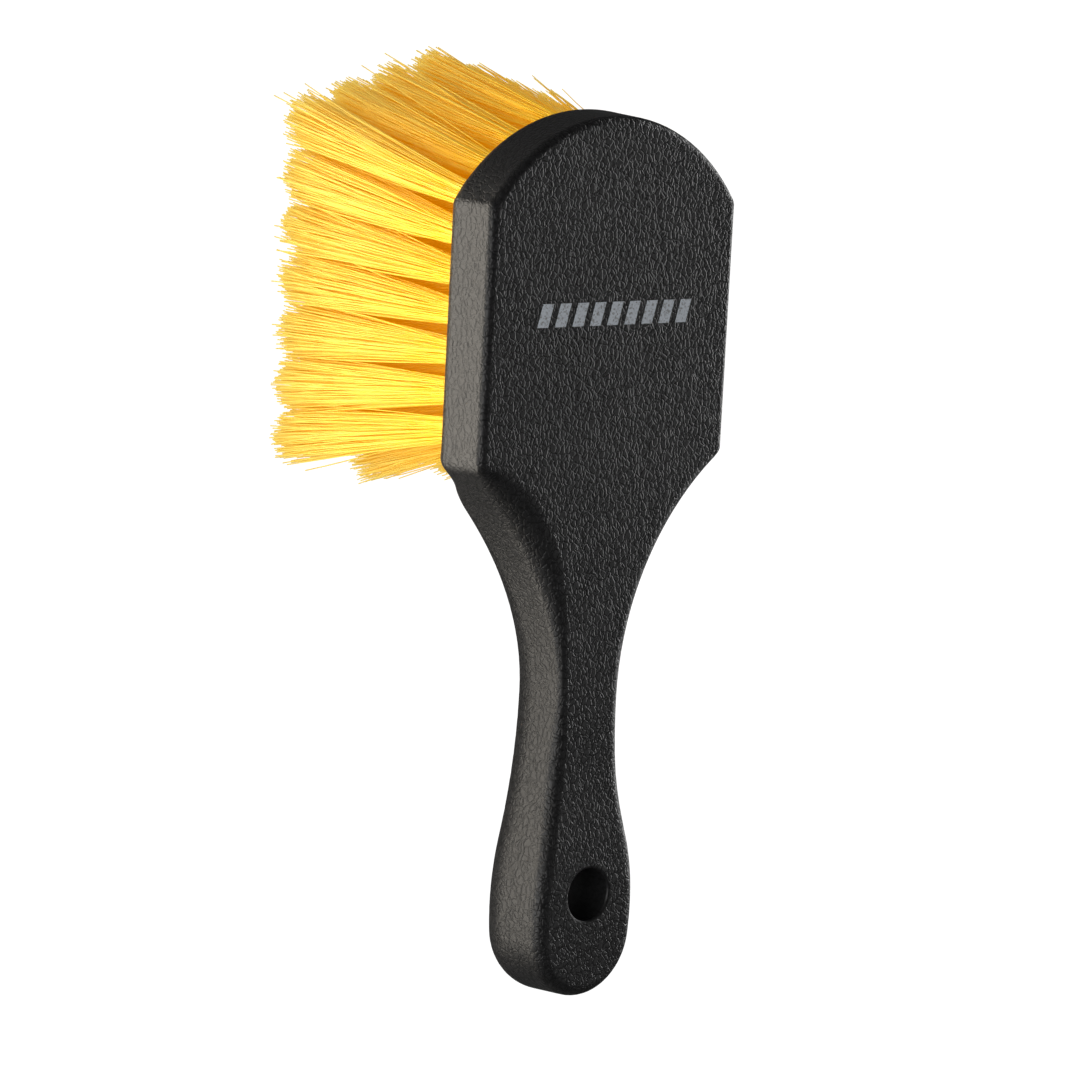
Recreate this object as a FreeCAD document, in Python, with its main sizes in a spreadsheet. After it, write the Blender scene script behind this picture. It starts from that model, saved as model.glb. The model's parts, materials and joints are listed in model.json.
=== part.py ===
"""Wheel brush: moulded block with handle, tufts of bristle and the flat wires that hold them.

The brush stands on its bristle tips. X runs across the head, +Y from the handle to the top of
the head, and +Z from the tips to the smooth back face. The origin is under the middle of the
whole brush, on the surface that the tips stand on.
"""
import FreeCAD
import Part
import Sketcher
import math
import os
from FreeCAD import Vector

SIZES = {
    # block, seen from the back
    "body_length": 216.0,
    "face_width": 79.1,
    "head_side_top": 194.3,
    "waist_half_width": 9.9,
    "waist_place": 74.0,
    "flare_radius": 71.5,
    "grip_half_width": 15.9,
    "grip_place": 22.0,
    "grip_side_radius": 75.0,
    # block, seen from the side
    "head_thickness": 15.6,
    "draft_inset": 1.0,
    "grip_depth": 20.8,
    "neck_depth": 20.4,
    "step_start": 121.0,
    "step_end": 136.0,
    "grip_rise": 2.8,
    "rise_start": 60.0,
    "rise_end": 26.0,
    "blank_margin": 10.0,
    # rounded edges
    "shoulder_radius": 4.5,
    "top_corner_radius": 2.6,
    "head_face_radius": 2.0,
    "handle_face_radius": 3.4,
    "head_rear_radius": 3.4,
    "handle_rear_radius": 9.8,
    # hanging hole
    "hang_place": 26.3,
    "hang_radius": 6.4,
    "hang_parting": 6.3,
    "hang_rear_taper": 2.0,
    "hang_rim_radius": 0.8,
    # bristle field
    "first_row": 139.5,
    "row_pitch": 9.3,
    "column_pitch": 10.9,
    "drill_radius": 3.1,
    "drill_depth": 12.0,
    "trim": 58.0,
    "fan_across": 1.18,
    "fan_along": 1.4,
    "fan_middle": 183.0,
    "side_rise": 3.0,
    "tuft_root_radius": 3.05,
    "tuft_tip_radius": 6.3,
    # flat wire across the bottom of each drilled hole
    "wire_length": 7.2,
    "wire_thickness": 0.4,
    "wire_height": 1.8,
    "wire_seat": 0.9,
}

OUTER_COLUMNS = (-3, -2, 2, 3)
OUTER_ROWS = 7
INNER_COLUMNS = (-1, 0, 1)
INNER_ROWS = 8

ORIGIN = -1
START = 1
END = 2
MIDPOINT = 3
UP = Vector(0, 0, 1)
NEAR = 0.05

doc = FreeCAD.newDocument("wheel_brush")
sheet = doc.addObject("Spreadsheet::Sheet", "sizes")
for line, (alias, value) in enumerate(SIZES.items(), start=1):
    sheet.set("A%d" % line, alias.replace("_", " "))
    sheet.set("B%d" % line, str(value))
    sheet.setAlias("B%d" % line, alias)
doc.recompute()


def value_of(formula):
    """Number that a formula over the sheet's cells gives."""
    return float(sheet.evalExpression(formula))


# ---------------------------------------------------------------- formulas shared by the pieces

def hole_across(column):
    return "%d * sizes.column_pitch" % column


def hole_along(column, row):
    """Neighbouring columns are half a pitch apart, so that the tufts stand in a diamond pattern."""
    stagger = 0.0 if column % 2 else 0.5
    return "(sizes.first_row + %.1f * sizes.row_pitch)" % (row + stagger)


def fanned_along(column, row):
    """Place of a tuft's tip: the field spreads from its middle, and its sides rise to the top."""
    return ("(sizes.fan_middle + sizes.fan_along * (%s - sizes.fan_middle) + %d * sizes.side_rise)"
            % (hole_along(column, row), abs(column)))


# the sides are drafted outwards from the back face, so that the rear of the block is wider
DRAFT_SLOPE = "(sizes.draft_inset / sizes.head_thickness)"
END_INSET = "(%s * (sizes.grip_depth - sizes.handle_rear_radius))" % DRAFT_SLOPE
TOP_INSET = "(%s * (sizes.head_thickness - sizes.head_rear_radius))" % DRAFT_SLOPE

TOP_OF_FIELD = "(%s + sizes.tuft_tip_radius)" % fanned_along(0, INNER_ROWS - 1)
MIDDLE_OF_BRUSH = "(%s / 2)" % TOP_OF_FIELD
BACK_HEIGHT = "(sizes.trim + sizes.head_thickness)"


# ------------------------------------------------------------------------------ sketch helpers

def origin_plane(body, role):
    return next(item for item in body.Origin.OriginFeatures if item.Role == role)


def new_sketch(body, name, role, height=None):
    sketch = body.newObject("Sketcher::SketchObject", name)
    sketch.AttachmentSupport = [(origin_plane(body, role), "")]
    sketch.MapMode = "FlatFace"
    if height:
        sketch.setExpression("AttachmentOffset.Base.z", height)
    return sketch


def arc_about(middle, start, end):
    """Arc about a middle point, the short way between two points, run counter-clockwise."""
    first = math.atan2(start.y - middle.y, start.x - middle.x)
    last = math.atan2(end.y - middle.y, end.x - middle.x)
    turn = (last - first + math.pi) % (2 * math.pi) - math.pi
    if turn < 0:
        first = last
    radius = (start - middle).Length
    return Part.ArcOfCircle(Part.Circle(middle, UP, radius), first, first + abs(turn))


def lines_through(points):
    return [Part.LineSegment(a, b) for a, b in zip(points, points[1:])]


def meet(sketch, kind, *pairs):
    """Make pieces of an outline meet: "Coincident" at a corner, "Tangent" without one."""
    for first, first_end, second, second_end in pairs:
        sketch.addConstraint(Sketcher.Constraint(kind, first, first_end, second, second_end))


def measure(sketch, formula, kind, *places):
    index = sketch.addConstraint(Sketcher.Constraint(kind, *places, value_of(formula)))
    sketch.setExpression("Constraints[%d]" % index, formula)


def hold(sketch, piece, end, across=None, along=None):
    """Hold one point of a sketch at formulas measured from the sketch's origin."""
    if across:
        measure(sketch, across, "DistanceX", ORIGIN, START, piece, end)
    if along:
        measure(sketch, along, "DistanceY", ORIGIN, START, piece, end)


# --------------------------------------------------------------------------------- the block

def draw_half_outline(sketch):
    """Right half of the back face: end, grip, waist, flare, side and top arc."""
    end = Vector(0, value_of(END_INSET), 0)
    top = Vector(0, value_of("sizes.body_length - " + TOP_INSET), 0)
    half_head = value_of("sizes.face_width / 2")
    side_top = value_of("sizes.head_side_top")
    waist = Vector(value_of("sizes.waist_half_width"), value_of("sizes.waist_place"), 0)
    flare = value_of("sizes.flare_radius")
    grip = value_of("sizes.grip_side_radius")
    grip_middle = Vector(value_of("sizes.grip_half_width") - grip, value_of("sizes.grip_place"), 0)

    # radii and joints that follow from the outline running smoothly from piece to piece
    rise = grip_middle.y - end.y
    end_radius = (grip**2 - grip_middle.x**2 - rise**2) / (2 * (grip - rise))
    end_middle = end + Vector(0, end_radius, 0)
    end_joint = grip_middle + (end_middle - grip_middle).normalize() * grip
    gap = waist - grip_middle
    waist_radius = (gap.x**2 + gap.y**2 - grip**2) / (2 * (grip - gap.x))
    waist_middle = waist + Vector(waist_radius, 0, 0)
    grip_joint = grip_middle + (waist_middle - grip_middle).normalize() * grip
    flare_middle = waist + Vector(flare, 0, 0)
    shoulder_rise = math.sqrt(flare**2 - (flare_middle.x - half_head)**2)
    shoulder = Vector(half_head, waist.y + shoulder_rise, 0)
    top_corner = Vector(half_head, side_top, 0)
    sagitta = top.y - side_top
    top_middle = top - Vector(0, (half_head**2 + sagitta**2) / (2 * sagitta), 0)

    end_arc, grip_arc, waist_arc, flare_arc, side, top_arc, axis = range(7)
    sketch.addGeometry([
        arc_about(end_middle, end, end_joint),
        arc_about(grip_middle, end_joint, grip_joint),
        arc_about(waist_middle, grip_joint, waist),
        arc_about(flare_middle, waist, shoulder),
        Part.LineSegment(shoulder, top_corner),
        arc_about(top_middle, top_corner, top),
        Part.LineSegment(top, end),
    ], False)
    meet(sketch, "Tangent", (end_arc, END, grip_arc, START), (grip_arc, END, waist_arc, END),
         (waist_arc, START, flare_arc, END))
    meet(sketch, "Coincident", (flare_arc, START, side, START), (side, END, top_arc, START),
         (top_arc, END, axis, START), (axis, END, end_arc, START))
    sketch.addConstraint([
        Sketcher.Constraint("PointOnObject", axis, START, -2),
        Sketcher.Constraint("PointOnObject", axis, END, -2),
        Sketcher.Constraint("Vertical", side),
        Sketcher.Constraint("PointOnObject", end_arc, MIDPOINT, -2),
        Sketcher.Constraint("PointOnObject", top_arc, MIDPOINT, -2),
        Sketcher.Constraint("Horizontal", waist_arc, MIDPOINT, waist_arc, START),
    ])
    hold(sketch, axis, START, along="sizes.body_length - " + TOP_INSET)
    hold(sketch, axis, END, along=END_INSET)
    hold(sketch, side, END, "sizes.face_width / 2", "sizes.head_side_top")
    hold(sketch, waist_arc, START, "sizes.waist_half_width", "sizes.waist_place")
    hold(sketch, grip_arc, MIDPOINT, "sizes.grip_half_width - sizes.grip_side_radius",
         "sizes.grip_place")
    measure(sketch, "sizes.flare_radius", "Radius", flare_arc)
    measure(sketch, "sizes.grip_side_radius", "Radius", grip_arc)


def step_arcs(low_point, high_point):
    """Two equal arcs that carry a level line up to a higher level one, to the right."""
    run = high_point - low_point
    bend = (run.x**2 + run.y**2) / (4 * abs(run.y))
    up = Vector(0, math.copysign(bend, run.y), 0)
    half_way = (low_point + high_point) * 0.5
    return [arc_about(low_point + up, low_point, half_way), arc_about(high_point - up, high_point, half_way)]


def draw_side_cut(sketch):
    """What is taken off the blank, seen from the side: above the back face and below the grip."""
    start = "-sizes.blank_margin"
    finish = "sizes.body_length + sizes.blank_margin"
    floor = "-sizes.neck_depth - sizes.blank_margin"
    ceiling = "sizes.blank_margin"

    low = [Vector(value_of(a), value_of(b), 0) for a, b in (
        (start, "-sizes.grip_depth"), ("sizes.step_start", "-sizes.neck_depth"),
        ("sizes.step_end", "-sizes.head_thickness"), (finish, "-sizes.head_thickness"),
        (finish, floor), (start, floor))]
    grip_line, neck_bend, head_bend, head_line, end_wall, bottom, start_wall = range(7)
    sketch.addGeometry([Part.LineSegment(low[0], low[1]), *step_arcs(low[1], low[2]),
                        *lines_through(low[2:] + low[:1])], False)
    meet(sketch, "Tangent", (grip_line, END, neck_bend, START), (neck_bend, END, head_bend, END),
         (head_bend, START, head_line, START))
    meet(sketch, "Coincident", (head_line, END, end_wall, START), (end_wall, END, bottom, START),
         (bottom, END, start_wall, START), (start_wall, END, grip_line, START))
    sketch.addConstraint(Sketcher.Constraint("Equal", neck_bend, head_bend))
    hold(sketch, grip_line, START, start, "-sizes.grip_depth")
    hold(sketch, grip_line, END, "sizes.step_start", "-sizes.neck_depth")
    hold(sketch, head_line, START, "sizes.step_end", "-sizes.head_thickness")
    hold(sketch, head_line, END, finish, "-sizes.head_thickness")
    hold(sketch, bottom, START, finish, floor)
    hold(sketch, bottom, END, start, floor)

    high = [Vector(value_of(a), value_of(b), 0) for a, b in (
        (start, "sizes.grip_rise"), ("sizes.rise_end", "sizes.grip_rise"), ("sizes.rise_start", "0"),
        (finish, "0"), (finish, ceiling), (start, ceiling))]
    grip_face, grip_bend, face_bend, face_line, right_wall, roof, left_wall = range(7, 14)
    sketch.addGeometry([Part.LineSegment(high[0], high[1]), *step_arcs(high[1], high[2]),
                        *lines_through(high[2:] + high[:1])], False)
    meet(sketch, "Tangent", (grip_face, END, grip_bend, END), (grip_bend, START, face_bend, START),
         (face_bend, END, face_line, START))
    meet(sketch, "Coincident", (face_line, END, right_wall, START), (right_wall, END, roof, START),
         (roof, END, left_wall, START), (left_wall, END, grip_face, START))
    sketch.addConstraint(Sketcher.Constraint("Equal", grip_bend, face_bend))
    hold(sketch, grip_face, START, start, "sizes.grip_rise")
    hold(sketch, grip_face, END, "sizes.rise_end", "sizes.grip_rise")
    for piece, end, across in ((face_line, START, "sizes.rise_start"), (face_line, END, finish)):
        hold(sketch, piece, end, across)
        sketch.addConstraint(Sketcher.Constraint("PointOnObject", piece, end, -1))
    hold(sketch, right_wall, END, finish, ceiling)
    hold(sketch, roof, END, start, ceiling)


def through_pocket(body, name, sketch):
    pocket = body.newObject("PartDesign::Pocket", name)
    pocket.Profile = sketch
    pocket.Type = "ThroughAll"
    pocket.SideType = "Symmetric"
    return pocket


def upright_edges(feature, along):
    """Names of the two drafted corner edges of the head that start at one place along the back face."""
    rear = value_of("-sizes.head_thickness")
    names = []
    for number, edge in enumerate(feature.Shape.Edges, start=1):
        ends = sorted((vertex.Point for vertex in edge.Vertexes), key=lambda point: point.z)
        if len(ends) == 2 and ends[0].z < rear + NEAR and ends[1].z > -NEAR:
            if abs(ends[1].y - along) < NEAR and abs(ends[1].x) > NEAR:
                names.append("Edge%d" % number)
    return names


def draft_sides(body):
    """Slant every side of the blank outwards from the plane of the back face to the rear."""
    doc.recompute()
    base = body.Tip
    sides = ["Face%d" % number for number, face in enumerate(base.Shape.Faces, start=1)
             if abs(face.normalAt(*face.Surface.parameter(face.CenterOfMass)).z) < NEAR]
    draft = body.newObject("PartDesign::Draft", "drafted_blank")
    draft.Base = (base, sides)
    draft.NeutralPlane = (origin_plane(body, "XY_Plane"), [""])
    draft.setExpression("Angle", "atan(%s)" % DRAFT_SLOPE)
    body.Tip = draft


def round_uprights(body, name, along, radius):
    doc.recompute()
    base = body.Tip
    fillet = body.newObject("PartDesign::Fillet", name)
    fillet.Base = (base, upright_edges(base, along))
    fillet.setExpression("Radius", radius)
    body.Tip = fillet


def add_hanging_hole(body):
    """Straight from the back face to the parting ring, then slightly wider towards the rear."""
    for name, height, taper in (("hang_front", None, None),
                                ("hang_rear", "-sizes.hang_parting", "sizes.hang_rear_taper")):
        sketch = new_sketch(body, name + "_circle", "XY_Plane", height)
        middle = Vector(0, value_of("sizes.hang_place"), 0)
        sketch.addGeometry(Part.Circle(middle, UP, value_of("sizes.hang_radius")), False)
        sketch.addConstraint(Sketcher.Constraint("PointOnObject", 0, MIDPOINT, -2))
        hold(sketch, 0, MIDPOINT, along="sizes.hang_place")
        measure(sketch, "sizes.hang_radius", "Radius", 0)
        if taper:
            pocket = body.newObject("PartDesign::Pocket", name)
            pocket.Profile = sketch
            pocket.setExpression("Length", "sizes.neck_depth")
            pocket.setExpression("TaperAngle", taper)
        else:
            pocket = through_pocket(body, name, sketch)
        body.Tip = pocket


def drill(body, name, columns, rows):
    """Blind holes from the underside, and the slot that each wire cuts across its hole."""
    across = [value_of(hole_across(column)) for column in columns]
    along = [value_of(hole_along(column, 0)) for column in columns]

    circles = new_sketch(body, name + "_circles", "XY_Plane", "-sizes.head_thickness")
    for number, column in enumerate(columns):
        middle = Vector(across[number], along[number], 0)
        circles.addGeometry(Part.Circle(middle, UP, value_of("sizes.drill_radius")), False)
        hold(circles, number, MIDPOINT, hole_across(column), hole_along(column, 0))
        measure(circles, "sizes.drill_radius", "Radius", number)
    holes = body.newObject("PartDesign::Pocket", name + "_holes")
    holes.Profile = circles
    holes.Reversed = True
    holes.setExpression("Length", "sizes.drill_depth")
    body.Tip = holes

    seat = "-sizes.head_thickness + sizes.drill_depth - sizes.wire_seat - sizes.wire_height"
    slots = new_sketch(body, name + "_slots_outline", "XY_Plane", seat)
    half = Vector(value_of("sizes.wire_length / 2"), value_of("sizes.wire_thickness / 2"), 0)
    for number, column in enumerate(columns):
        middle = Vector(across[number], along[number], 0)
        corners = [middle + Vector(a * half.x, b * half.y, 0)
                   for a, b in ((-1, -1), (1, -1), (1, 1), (-1, 1), (-1, -1))]
        slots.addGeometry(lines_through(corners), False)
        first = 4 * number
        meet(slots, "Coincident", *[(first + side, END, first + (side + 1) % 4, START)
                                    for side in range(4)])
        for corner, sign in ((0, "-"), (2, "+")):
            hold(slots, first + corner, START,
                 "%s %s sizes.wire_length / 2" % (hole_across(column), sign),
                 "%s %s sizes.wire_thickness / 2" % (hole_along(column, 0), sign))
        for side, kind in enumerate(("Horizontal", "Vertical", "Horizontal", "Vertical")):
            slots.addConstraint(Sketcher.Constraint(kind, first + side))
    slits = body.newObject("PartDesign::Pocket", name + "_slots")
    slits.Profile = slots
    slits.Reversed = True
    slits.setExpression("Length", "sizes.wire_height")
    body.Tip = slits

    rows_pattern = body.newObject("PartDesign::LinearPattern", name + "_rows")
    rows_pattern.Originals = [holes, slits]
    rows_pattern.Direction = (circles, ["V_Axis"])
    rows_pattern.Occurrences = rows
    rows_pattern.Mode = "Spacing"
    rows_pattern.setExpression("Offset", "sizes.row_pitch")
    body.Tip = rows_pattern


def grown(along, head_radius, handle_radius):
    """Edge rounding at a place along the block: it grows from the step to the waist."""
    step, waist = value_of("sizes.step_start"), value_of("sizes.waist_place")
    part = min(1.0, max(0.0, (step - along) / (step - waist)))
    return value_of(head_radius) + part * value_of("%s - %s" % (handle_radius, head_radius))


def face_radius(point):
    return grown(point.y, "sizes.head_face_radius", "sizes.handle_face_radius")


def rear_radius(point):
    return grown(point.y, "sizes.head_rear_radius", "sizes.handle_rear_radius")


def hang_rim(point):
    return value_of("sizes.hang_rim_radius")


def is_drilled(edge):
    return isinstance(edge.Curve, Part.Circle) and edge.Curve.Radius < value_of("sizes.drill_radius") + NEAR


def rounding_of(edge, points):
    """Which rounding an edge of the block gets, if any, from three points along it."""
    middle = points[1]
    hole_place, hole_reach = value_of("sizes.hang_place"), value_of("sizes.hang_radius + 1")
    on_face = all(point.z > -NEAR for point in points)
    if all(math.hypot(point.x, point.y - hole_place) < hole_reach for point in points):
        return hang_rim if on_face else None
    if abs(middle.x) < NEAR and 1 < middle.y < value_of("sizes.body_length - 1"):
        return None
    if on_face:
        return face_radius
    at_rear = all(point.z < value_of("-sizes.head_thickness") + NEAR for point in points)
    return rear_radius if at_rear and not is_drilled(edge) else None


def rounded_block(body):
    """Round every outer edge of the back face and of the rear, with a radius that varies."""
    edges = []
    for number, edge in enumerate(body.Shape.Edges, start=1):
        first, last = edge.FirstParameter, edge.LastParameter
        points = [edge.valueAt(place) for place in (first, (first + last) / 2, last)]
        rounding = rounding_of(edge, points)
        if rounding:
            edges.append((number, rounding(points[0]), rounding(points[2])))
    block = doc.addObject("Part::Fillet", "handle_block")
    block.Base = body
    block.Edges = edges
    return block


def make_block():
    body = doc.addObject("PartDesign::Body", "block_blank")
    outline = new_sketch(body, "half_outline", "XY_Plane", "sizes.blank_margin / 2")
    draw_half_outline(outline)
    pad = body.newObject("PartDesign::Pad", "half_blank")
    pad.Profile = outline
    pad.Reversed = True
    pad.setExpression("Length", "sizes.neck_depth + sizes.blank_margin")
    body.Tip = pad
    mirror = body.newObject("PartDesign::Mirrored", "whole_blank")
    mirror.Originals = [pad]
    mirror.MirrorPlane = (origin_plane(body, "YZ_Plane"), [""])
    body.Tip = mirror
    draft_sides(body)
    side = new_sketch(body, "side_cut_outline", "YZ_Plane")
    draw_side_cut(side)
    body.Tip = through_pocket(body, "side_cut", side)

    waist = value_of("sizes.waist_half_width")
    flare = value_of("sizes.flare_radius")
    shoulder_rise = math.sqrt(flare**2 - (waist + flare - value_of("sizes.face_width / 2"))**2)
    round_uprights(body, "shoulders", value_of("sizes.waist_place") + shoulder_rise,
                   "sizes.shoulder_radius")
    round_uprights(body, "top_corners", value_of("sizes.head_side_top"), "sizes.top_corner_radius")
    add_hanging_hole(body)
    drill(body, "outer", OUTER_COLUMNS, OUTER_ROWS)
    drill(body, "inner", INNER_COLUMNS, INNER_ROWS)
    doc.recompute()
    return rounded_block(body)


# ------------------------------------------------------------------- the tufts and their wires

def put(thing, across, along, height):
    """Bind the place of a sub-part, given in the block's own X and Y and in height over the tips."""
    thing.setExpression("Placement.Base.x", across)
    thing.setExpression("Placement.Base.y", "%s - %s" % (along, MIDDLE_OF_BRUSH))
    thing.setExpression("Placement.Base.z", height)


def make_wire(name, column, row):
    """One flat wire, standing on edge across the bottom of its hole and biting into both walls."""
    wire = doc.addObject("Part::Box", name)
    wire.setExpression("Length", "sizes.wire_length")
    wire.setExpression("Width", "sizes.wire_thickness")
    wire.setExpression("Height", "sizes.wire_height")
    put(wire, hole_across(column) + " - sizes.wire_length / 2",
        hole_along(column, row) + " - sizes.wire_thickness / 2",
        "sizes.trim + sizes.drill_depth - sizes.wire_seat - sizes.wire_height")
    return wire


def make_tuft(name, column, row, wire):
    """One tuft: a round bundle in its hole, spreading and leaning outwards from there to its tips."""
    lean_across = "(%s * (sizes.fan_across - 1))" % hole_across(column)
    lean_along = "(%s - %s)" % (fanned_along(column, row), hole_along(column, row))
    rings = []
    for place, radius, across, along, height in (
            ("bottom", "sizes.tuft_root_radius", "0", "0", "sizes.drill_depth"),
            ("mouth", "sizes.tuft_root_radius", "0", "0", "0"),
            ("tip", "sizes.tuft_tip_radius", lean_across, lean_along, "-sizes.trim")):
        ring = doc.addObject("Part::Circle", "%s_%s" % (name, place))
        ring.setExpression("Radius", radius)
        ring.setExpression("Placement.Base.x", across)
        ring.setExpression("Placement.Base.y", along)
        ring.setExpression("Placement.Base.z", height)
        rings.append(ring)
    bundle = doc.addObject("Part::Loft", name + "_bundle")
    bundle.Sections = rings
    bundle.Solid = True
    bundle.Ruled = True
    put(bundle, hole_across(column), hole_along(column, row), "sizes.trim")
    tuft = doc.addObject("Part::Cut", name)
    tuft.Base = bundle
    tuft.Tool = wire
    return tuft


def make_bristles():
    tufts = []
    wires = []
    for columns, rows in ((OUTER_COLUMNS, OUTER_ROWS), (INNER_COLUMNS, INNER_ROWS)):
        for column in columns:
            for row in range(rows):
                name = "c%d_r%d" % (column - OUTER_COLUMNS[0] + 1, row + 1)
                wire = make_wire("wire_" + name, column, row)
                wires.append(wire)
                tufts.append(make_tuft("tuft_" + name, column, row, wire))
    anchors = doc.addObject("Part::Compound", "tuft_anchors")
    anchors.Links = wires
    return tufts, anchors


# ---------------------------------------------------------------------------------- the whole

block = make_block()
put(block, "0", "0", BACK_HEIGHT)
tufts, anchors = make_bristles()
doc.recompute()

for thing in doc.Objects:
    bad = [state for state in thing.State if state in ("Invalid", "Error")]
    if bad:
        raise RuntimeError("%s is %s: %s" % (thing.Name, bad, thing.getStatusString()))

pieces = [block, anchors] + tufts
os.makedirs("parts", exist_ok=True)
for piece in pieces:
    if piece.Shape.isNull() or not piece.Shape.isValid():
        raise RuntimeError("%s has no valid shape" % piece.Name)
    piece.Label = piece.Name
    piece.Shape.exportStep("parts/%s.step" % piece.Label)
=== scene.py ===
"""Looks of the wheel brush: grained black plastic block, yellow bristle filaments and a studio."""

import json
import math

import bpy
import numpy as np
from mathutils import Matrix, Vector


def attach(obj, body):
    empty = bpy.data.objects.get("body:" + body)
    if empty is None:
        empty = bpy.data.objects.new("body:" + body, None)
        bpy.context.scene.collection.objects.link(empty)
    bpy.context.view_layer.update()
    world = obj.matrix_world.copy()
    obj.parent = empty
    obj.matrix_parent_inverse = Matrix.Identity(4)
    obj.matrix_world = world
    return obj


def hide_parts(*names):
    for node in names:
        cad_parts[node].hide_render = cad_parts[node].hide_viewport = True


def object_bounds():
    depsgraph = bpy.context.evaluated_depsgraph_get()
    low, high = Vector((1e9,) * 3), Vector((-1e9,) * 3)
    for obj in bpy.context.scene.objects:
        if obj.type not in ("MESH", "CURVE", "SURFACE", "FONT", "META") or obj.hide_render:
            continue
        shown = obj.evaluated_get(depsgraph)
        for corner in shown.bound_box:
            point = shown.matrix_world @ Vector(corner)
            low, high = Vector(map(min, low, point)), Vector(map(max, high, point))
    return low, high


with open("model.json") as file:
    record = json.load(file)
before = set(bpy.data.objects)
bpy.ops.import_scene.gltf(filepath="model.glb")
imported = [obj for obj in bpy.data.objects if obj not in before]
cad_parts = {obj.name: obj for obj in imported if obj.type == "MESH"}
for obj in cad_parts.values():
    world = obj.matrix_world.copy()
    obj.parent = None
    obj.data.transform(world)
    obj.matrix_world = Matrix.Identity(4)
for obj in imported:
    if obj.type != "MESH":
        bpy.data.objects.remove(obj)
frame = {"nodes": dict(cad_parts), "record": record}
cad_low, cad_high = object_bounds()
rng = np.random.default_rng(7)

MM = 0.001


def mount_named(name):
    return next(mount for mount in frame["record"]["mounts"] if mount["name"] == name)


BACK_FACE = mount_named("back_face")["pos_m"]


# ------------------------------------------------------------------------------ node helpers

class Nodes:
    """Short way to add nodes to one material and link them."""

    def __init__(self, name):
        self.material = bpy.data.materials.new(name)
        self.material.use_nodes = True
        self.tree = self.material.node_tree
        self.shader = self.tree.nodes["Principled BSDF"]

    def add(self, kind, settings=None, **inputs):
        node = self.tree.nodes.new("ShaderNode" + kind)
        for key, value in (settings or {}).items():
            setattr(node, key, value)
        for key, value in inputs.items():
            self.feed(node.inputs[key.replace("_", " ")], value)
        return node

    def feed(self, socket, value):
        if isinstance(value, bpy.types.NodeSocket):
            self.tree.links.new(value, socket)
        else:
            socket.default_value = value

    def math(self, operation, first, second=0.0):
        node = self.add("Math", {"operation": operation})
        self.feed(node.inputs[0], first)
        self.feed(node.inputs[1], second)
        return node.outputs[0]

    def vector(self, operation, first, second):
        node = self.add("VectorMath", {"operation": operation})
        self.feed(node.inputs[0], first)
        self.feed(node.inputs[1], second)
        return node.outputs[0]

    def ramp(self, factor, stops):
        node = self.add("ValToRGB", Fac=factor)
        elements = node.color_ramp.elements
        while len(elements) < len(stops):
            elements.new(0.5)
        for element, (place, color) in zip(elements, stops):
            element.position = place
            element.color = color
        return node.outputs["Color"]

    def mix(self, factor, first, second):
        """Blend of two colours; Mix repeats its socket names, so these are found by type."""
        node = self.add("Mix", {"data_type": "RGBA"}, Factor=factor)
        first_socket, second_socket = [socket for socket in node.inputs if socket.type == "RGBA"]
        self.feed(first_socket, first)
        self.feed(second_socket, second)
        return next(socket for socket in node.outputs if socket.type == "RGBA")


def grey(level):
    return (level, level, level, 1.0)


# --------------------------------------------------------------------------------- materials

# Grain: cells of about a millimetre with soft edges, bent by one noise and roughened by a finer one.
BEND_SCALE = 520.0
BEND_PUSH = 2.2 * MM
PEBBLE_STRETCH = (1.0, 0.72, 0.85)
PEBBLE_SCALE = 760.0
PEBBLE_EDGE = 0.2
FINE_SCALE = 2400.0
FINE_SHARE = 0.35
GRAIN_HEIGHT = 0.18 * MM
# Strength of the grain, and how far from the hole's wall it starts and is full.
GRAIN_ON_SIDES = 0.35
GRAIN_ON_FACE = 0.62
GRAIN_STARTS = (0.3 * MM, 0.9 * MM)


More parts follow.
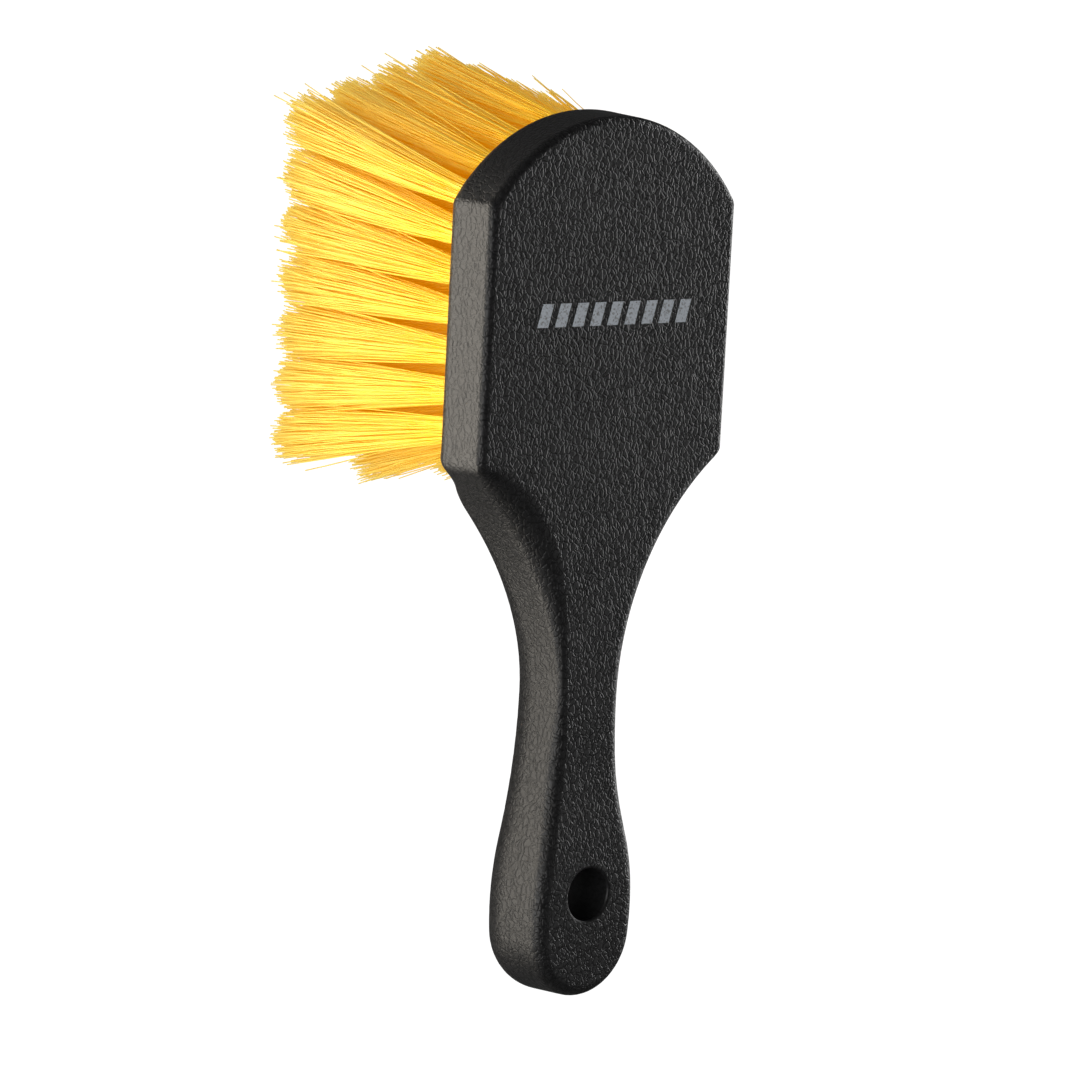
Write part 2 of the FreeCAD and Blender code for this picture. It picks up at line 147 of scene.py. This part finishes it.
def block_plastic():
    """Black moulding with a pebbled grain everywhere but on the wall of the hanging hole."""
    nodes = Nodes("block_plastic")
    place = nodes.add("TexCoord").outputs["Object"]

    bend = nodes.add("TexNoise", Vector=place, Scale=BEND_SCALE, Detail=2.0).outputs["Color"]
    push = nodes.vector("MULTIPLY", nodes.vector("SUBTRACT", bend, (0.5, 0.5, 0.5)), (BEND_PUSH,) * 3)
    bent = nodes.vector("MULTIPLY", nodes.vector("ADD", place, push), PEBBLE_STRETCH)
    pebbles = nodes.add("TexVoronoi", {"feature": "DISTANCE_TO_EDGE"}, Vector=bent, Scale=PEBBLE_SCALE)
    cushions = nodes.add("MapRange", {"interpolation_type": "SMOOTHSTEP"},
                         Value=pebbles.outputs["Distance"], From_Max=PEBBLE_EDGE).outputs["Result"]
    fine = nodes.add("TexNoise", Vector=place, Scale=FINE_SCALE, Detail=2.0).outputs["Fac"]
    height = nodes.math("ADD", cushions, nodes.math("MULTIPLY", fine, FINE_SHARE))

    hole = mount_named("hanging_hole")
    from_axis = nodes.vector("SUBTRACT", place, tuple(hole["pos_m"]))
    flat = nodes.vector("MULTIPLY", from_axis, (1.0, 1.0, 0.0))
    distance = nodes.add("VectorMath", {"operation": "LENGTH"})
    nodes.feed(distance.inputs[0], flat)
    wall = hole["dims"]["r_mm"] * MM
    grained = nodes.add("MapRange", Value=distance.outputs["Value"], From_Min=wall + GRAIN_STARTS[0],
                        From_Max=wall + GRAIN_STARTS[1]).outputs["Result"]
    upward = nodes.add("SeparateXYZ", Vector=nodes.add("TexCoord").outputs["Normal"]).outputs["Z"]
    depth = nodes.add("MapRange", Value=nodes.math("ABSOLUTE", upward), To_Min=GRAIN_ON_SIDES,
                      To_Max=GRAIN_ON_FACE)
    strength = nodes.math("MULTIPLY", grained, depth.outputs["Result"])
    bump = nodes.add("Bump", Strength=strength, Distance=GRAIN_HEIGHT, Height=height)
    nodes.feed(nodes.shader.inputs["Normal"], bump.outputs["Normal"])
    nodes.shader.inputs["IOR"].default_value = 1.38
    nodes.feed(nodes.shader.inputs["Roughness"],
               nodes.ramp(fine, [(0.3, grey(0.34)), (0.7, grey(0.44))]))
    # The base colour is darker in the grain's grooves than on its cushions: painted shade in the grooves.
    nodes.feed(nodes.shader.inputs["Base Color"],
               nodes.ramp(cushions, [(0.0, grey(0.007)), (0.6, (0.014, 0.014, 0.0145, 1))]))
    return nodes.material


# Height over which a filament pales towards its tip, and by how much at the tip. The paling is partly the
# tips' own paler colour, and partly painted shade towards the roots and painted highlight on the tips.
PALE_LENGTH = 50.0 * MM
PALE_SHARE = 0.5


def bristle_plastic():
    """Yellow filament; each one has its own tone, all grow paler towards the tips (partly painted shade
    and highlight), and all glow faintly orange as painted light.
    """
    nodes = Nodes("bristle_plastic")
    tone = nodes.add("Attribute", {"attribute_name": "tone"}).outputs["Fac"]
    color = nodes.ramp(tone, [(0.0, (0.9, 0.53, 0.002, 1)), (0.5, (0.95, 0.615, 0.008, 1)),
                              (1.0, (1.0, 0.7, 0.05, 1))])
    height = nodes.add("SeparateXYZ", Vector=nodes.add("TexCoord").outputs["Object"]).outputs["Z"]
    # Paler towards the tips and deeper orange towards the roots: partly the tips' own colour, partly
    # painted shade near the roots and painted highlight on the tips.
    pale_tips_and_painted_light = nodes.add("MapRange", Value=height, From_Min=PALE_LENGTH, From_Max=0.0, To_Max=PALE_SHARE)
    nodes.feed(nodes.shader.inputs["Base Color"],
               nodes.mix(pale_tips_and_painted_light.outputs["Result"], color, (1.0, 0.92, 0.33, 1)))
    nodes.shader.inputs["Roughness"].default_value = 0.4
    # The faint orange glow is painted light: it stands in for light scattered through the tufts into
    # their shaded gaps.
    nodes.shader.inputs["Emission Color"].default_value = (1.0, 0.5, 0.0, 1)
    nodes.shader.inputs["Emission Strength"].default_value = 0.13
    nodes.shader.inputs["IOR"].default_value = 1.5
    return nodes.material


def wire_metal():
    """Drawn steel with fine streaks along each wire."""
    nodes = Nodes("wire_metal")
    place = nodes.add("TexCoord").outputs["Object"]
    streaks = nodes.add("TexNoise", Vector=nodes.vector("MULTIPLY", place, (200.0, 6000.0, 6000.0)),
                        Scale=1.0).outputs["Fac"]
    nodes.shader.inputs["Metallic"].default_value = 1.0
    nodes.feed(nodes.shader.inputs["Roughness"],
               nodes.ramp(streaks, [(0.3, grey(0.25)), (0.7, grey(0.45))]))
    nodes.feed(nodes.shader.inputs["Base Color"],
               nodes.ramp(streaks, [(0.3, grey(0.5)), (0.7, grey(0.62))]))
    return nodes.material


def print_ink():
    """Pale grey ink, thinner in small speckles."""
    nodes = Nodes("print_ink")
    place = nodes.add("TexCoord").outputs["Object"]
    speckle = nodes.add("TexNoise", Vector=place, Scale=1800.0, Detail=3.0).outputs["Fac"]
    nodes.feed(nodes.shader.inputs["Base Color"],
               nodes.ramp(speckle, [(0.32, grey(0.35)), (0.5, (0.8, 0.86, 0.93, 1)),
                                    (0.8, (0.9, 0.95, 1.0, 1))]))
    nodes.shader.inputs["Roughness"].default_value = 0.55
    return nodes.material


# ---------------------------------------------------------------------------------- bristles

# Filaments in each tuft, and the tube that each one is.
FILAMENTS = 430
FILAMENT_RADIUS = 0.15 * MM
SIDES = 4
STEPS = np.array([0.0, 0.16, 0.34, 0.52, 0.7, 0.86, 1.0])
SEATED_LENGTH = 3 * MM
# Spread of the tips: below 1, CROWDING moves them outwards; strays leave the tuft further.
CROWDING = 0.9
STRAY_SHARE = 0.05
WANDER = 0.9 * MM
STRAY_WANDER = 2.6 * MM
# Trim of the tips: uneven everywhere, and shorter around a tuft's edge.
TRIM_UNEVEN = 0.6 * MM
EDGE_SHORTER = 2.2 * MM
STRAY_LONGER = -1 * MM
STRAY_SHORTER = 2 * MM
TIP_CLEARANCE = 0.05 * MM
# Bend of a filament: a flare towards the tip, one bow and a smaller wave.
FLARE_POWER = 1.08
BOW = 0.4 * MM
CURL = 0.16 * MM
CURL_PHASE = 0.6
# Rings of a CAD tuft: how near a vertex has to be, and the count of vertices that a ring exceeds.
SAME_PLACE = 0.01 * MM
FULL_RING = 8


def ring_of(node, highest):
    """Middle and radius of a CAD tuft's top or bottom ring of vertices."""
    points = np.array([vertex.co for vertex in node.data.vertices])
    level = points[:, 2].max() if highest else points[:, 2].min()
    ring = points[np.abs(points[:, 2] - level) < SAME_PLACE]
    middle = (ring.min(axis=0) + ring.max(axis=0)) / 2
    return middle, np.ptp(ring[:, 0]) / 2


def mouth_of(node, root, root_radius):
    """Height at which a CAD tuft leaves its hole: its lowest ring of vertices as wide as at the root."""
    points = np.array([vertex.co for vertex in node.data.vertices])
    from_axis = np.hypot(*(points[:, :2] - root[:2]).T)
    tight = np.abs(from_axis - root_radius) < SAME_PLACE
    heights = np.round(points[:, 2], 5)
    rings = [height for height in np.unique(heights) if np.sum(heights == height) > FULL_RING]
    return min(height for height in rings if tight[heights == height].all())


def filament_paths(root, root_radius, mouth_height, tip, tip_radius):
    """Middle lines of one tuft's filaments: straight in the hole, then fanned and slightly bent."""
    count = FILAMENTS
    turn = rng.uniform(0, 2 * math.pi, count)
    reach = np.sqrt(rng.uniform(0, 1, count))
    round_about = np.stack([np.cos(turn), np.sin(turn)], axis=1)
    start = root[:2] + round_about * (reach * (root_radius - FILAMENT_RADIUS))[:, None]
    spread = tip_radius * reach**CROWDING
    stray = rng.uniform(0, 1, count) < STRAY_SHARE
    wander = rng.normal(0, 1, (count, 2)) * np.where(stray, STRAY_WANDER, WANDER)[:, None]
    finish = tip[:2] + round_about * spread[:, None] + wander
    short = np.abs(rng.normal(0, TRIM_UNEVEN, count)) + EDGE_SHORTER * reach**3
    short += np.where(stray, rng.uniform(STRAY_LONGER, STRAY_SHORTER, count), 0)
    finish_height = tip[2] + np.maximum(short, 0) + TIP_CLEARANCE

    along = STEPS[None, :, None]
    bow = rng.normal(0, BOW, (count, 1, 2)) * np.sin(math.pi * along)
    curl = rng.normal(0, CURL, (count, 1, 2)) * np.sin(3 * math.pi * along + CURL_PHASE) * along
    flat = start[:, None, :] + (finish - start)[:, None, :] * along**FLARE_POWER + bow + curl
    heights = mouth_height + (finish_height - mouth_height)[:, None] * STEPS[None, :]
    outside = np.concatenate([flat, heights[:, :, None]], axis=2)
    seat = np.concatenate([start, np.full((count, 1), root[2] - SEATED_LENGTH)], axis=1)
    return np.concatenate([seat[:, None, :], outside], axis=1)


def tube_mesh(name, paths, tones):
    """One mesh of thin tubes, closed at both ends, with a tone for each tube."""
    count, rings, _ = paths.shape
    angles = np.arange(SIDES) * 2 * math.pi / SIDES
    rim = np.stack([np.cos(angles), np.sin(angles), np.zeros(SIDES)], axis=1) * FILAMENT_RADIUS
    vertices = (paths[:, :, None, :] + rim[None, None, :, :]).reshape(-1, 3)

    side = np.arange(SIDES)
    after = (side + 1) % SIDES
    ring = np.arange(rings - 1)[:, None] * SIDES
    walls = np.stack([ring + after, ring + side, ring + SIDES + side, ring + SIDES + after], axis=2)
    caps = np.stack([side, side[::-1] + (rings - 1) * SIDES])
    quads = np.concatenate([walls.reshape(-1, 4), caps])
    quads = (quads[None] + (np.arange(count) * rings * SIDES)[:, None, None]).reshape(-1, 4)

    mesh = bpy.data.meshes.new(name)
    mesh.vertices.add(len(vertices))
    mesh.vertices.foreach_set("co", vertices.astype(np.float32).ravel())
    mesh.loops.add(quads.size)
    mesh.loops.foreach_set("vertex_index", quads.astype(np.int32).ravel())
    mesh.polygons.add(len(quads))
    mesh.polygons.foreach_set("loop_start", np.arange(0, quads.size, 4, dtype=np.int32))
    mesh.update(calc_edges=True)
    mesh.polygons.foreach_set("use_smooth", np.ones(len(quads), bool))
    layer = mesh.attributes.new("tone", "FLOAT", "POINT")
    layer.data.foreach_set("value", np.repeat(tones, rings * SIDES).astype(np.float32))
    mesh.validate()
    return mesh


def make_tuft(node, material):
    """Filaments in place of one plain CAD tuft."""
    root, root_radius = ring_of(node, highest=True)
    mouth_height = mouth_of(node, root, root_radius)
    tip, tip_radius = ring_of(node, highest=False)
    paths = filament_paths(root, root_radius, mouth_height, tip, tip_radius)
    tones = np.clip(rng.normal(0.5, 0.2, len(paths)), 0, 1)
    name = "bristles_" + node.name
    piece = bpy.data.objects.new(name, tube_mesh(name, paths, tones))
    bpy.context.scene.collection.objects.link(piece)
    piece.data.materials.append(material)
    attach(piece, "root")
    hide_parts(node.name)


# --------------------------------------------------------------------------------- the print

# The band's place is from the middle of the back_face mount.
PRINT_BARS = 9
PRINT_LENGTH = 50.4 * MM
PRINT_HEIGHT = 5.6 * MM
PRINT_SLANT = 1.6 * MM
PRINT_PLACE = (1.2 * MM, 3.2 * MM)
BAR_SHARE = 0.62
INK = 0.03 * MM


def make_print(material):
    """A plain band of slanted bars, printed on the back of the head."""
    pitch = PRINT_LENGTH / PRINT_BARS
    bar_width = BAR_SHARE * pitch
    bottom, top = -PRINT_HEIGHT / 2, PRINT_HEIGHT / 2
    middle = Vector((PRINT_PLACE[0], BACK_FACE[1] + PRINT_PLACE[1], BACK_FACE[2]))
    vertices, faces = [], []
    for number in range(PRINT_BARS):
        left = -PRINT_LENGTH / 2 + number * pitch
        right = left + bar_width
        outline = [(left, bottom), (right, bottom), (right + PRINT_SLANT, top), (left + PRINT_SLANT, top)]
        first = len(vertices)
        for level in (-INK, INK):
            vertices += [middle + Vector((x, y, level)) for x, y in outline]
        faces += [(first + 3, first + 2, first + 1, first), (first + 4, first + 5, first + 6, first + 7)]
        for corner in range(4):
            after = (corner + 1) % 4
            faces.append((first + corner, first + after, first + 4 + after, first + 4 + corner))
    mesh = bpy.data.meshes.new("printed_band")
    mesh.from_pydata(vertices, [], faces)
    piece = bpy.data.objects.new("printed_band", mesh)
    bpy.context.scene.collection.objects.link(piece)
    mesh.materials.append(material)
    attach(piece, "root")


def dress(node, material):
    """Give a carried-over CAD node one material."""
    node.data.materials.clear()
    node.data.materials.append(material)


# ------------------------------------------------------------------------------------ studio

# Floor and panel: sizes in metres, and light given off.
FLOOR_SIZE = (8.0, 8.0)
FLOOR_GLOW = 1.04
SHEET_GREY = 0.12
PANEL_PLACE = (-135 * MM, -26 * MM, 0.3 * MM)
PANEL_SIZE = (110 * MM, 320 * MM)
PANEL_TURN = math.radians(-4)
PANEL_GLOW = 6.9
PANEL_COLOR = (1.0, 0.93, 0.82, 1)
# Camera: the point of the back face that it looks at, the direction back to it, and its lens.
CAMERA_AIM = Vector((-21.9 * MM, 3.4 * MM, 0))
CAMERA_DIRECTION = Vector((-0.66408, 0.14962, 0.73254))
CAMERA_DISTANCE = 1.0763
CAMERA_ROLL = math.radians(-3.0)
CAMERA_LENS = 153.1
LIGHT_AIM = Vector((0, 30 * MM, 50 * MM))
WORLD_GLOW = 0.06


def glowing_plane(name, middle, size, turn, color, glow):
    """Flat pale sheet that also gives off a little light of its own."""
    bpy.ops.mesh.primitive_plane_add(size=1.0, location=middle, rotation=(0, 0, turn))
    plane = bpy.context.object
    plane.name = name
    plane.scale = (size[0], size[1], 1.0)
    nodes = Nodes(name)
    nodes.shader.inputs["Base Color"].default_value = grey(SHEET_GREY)
    nodes.shader.inputs["Roughness"].default_value = 0.9
    nodes.shader.inputs["Emission Color"].default_value = color
    nodes.shader.inputs["Emission Strength"].default_value = glow
    plane.data.materials.append(nodes.material)
    return plane


def make_floor():
    """White table, and on it to the left a warm light panel that the block's side mirrors."""
    floor = glowing_plane("floor", (0, 0, cad_low[2]), FLOOR_SIZE, 0, grey(1.0), FLOOR_GLOW)
    floor.visible_glossy = False
    glowing_plane("panel", PANEL_PLACE, PANEL_SIZE, PANEL_TURN, PANEL_COLOR, PANEL_GLOW)


def area_light(name, direction, distance, size, energy):
    """Soft rectangular light that faces the brush from one direction."""
    data = bpy.data.lights.new(name, "AREA")
    data.shape = "RECTANGLE"
    data.size, data.size_y = size
    data.energy = energy
    light = bpy.data.objects.new(name, data)
    away = Vector(direction).normalized()
    light.location = LIGHT_AIM + away * distance
    light.rotation_euler = away.to_track_quat("Z", "Y").to_euler()
    bpy.context.scene.collection.objects.link(light)


def make_camera():
    """Long lens at the photo's angle, turned a little about its own axis."""
    data = bpy.data.cameras.new("camera")
    data.lens = CAMERA_LENS
    data.sensor_width = 36.0
    data.clip_end = 20.0
    camera = bpy.data.objects.new("camera", data)
    back = CAMERA_DIRECTION.normalized()
    right = Vector((0, 1, 0)).cross(back).normalized()
    up = back.cross(right)
    turned = Matrix((right, up, back)).transposed() @ Matrix.Rotation(-CAMERA_ROLL, 3, "Z")
    aim = CAMERA_AIM + Vector((0, 0, BACK_FACE[2]))
    camera.matrix_world = Matrix.Translation(aim + back * CAMERA_DISTANCE) @ turned.to_4x4()
    bpy.context.scene.collection.objects.link(camera)
    bpy.context.scene.camera = camera


def make_lights():
    """Soft fill for the back face, a key light for the bristles and a low light for the right side."""
    world = bpy.data.worlds.new("studio")
    world.use_nodes = True
    background = world.node_tree.nodes["Background"]
    background.inputs["Color"].default_value = grey(1.0)
    background.inputs["Strength"].default_value = WORLD_GLOW
    bpy.context.scene.world = world
    area_light("right_fill", (0.67, -0.154, 0.726), 1.3, (1.1, 1.1), 2.1)
    area_light("left_key", (-0.9, -0.12, 0.28), 1.2, (0.7, 0.9), 7.5)
    area_light("right_edge", (0.98, 0.1, 0.03), 1.2, (0.9, 0.25), 8.0)


# ------------------------------------------------------------------------------------- scene

dress(frame["nodes"]["handle_block"], block_plastic())
dress(frame["nodes"]["tuft_anchors"], wire_metal())

bristle = bristle_plastic()
tuft_nodes = sorted(name for name in frame["nodes"] if name.startswith("tuft_c"))
for tuft_name in tuft_nodes:
    make_tuft(frame["nodes"][tuft_name], bristle)
make_print(print_ink())

make_floor()
make_camera()
make_lights()
bpy.context.scene.view_settings.view_transform = "Standard"
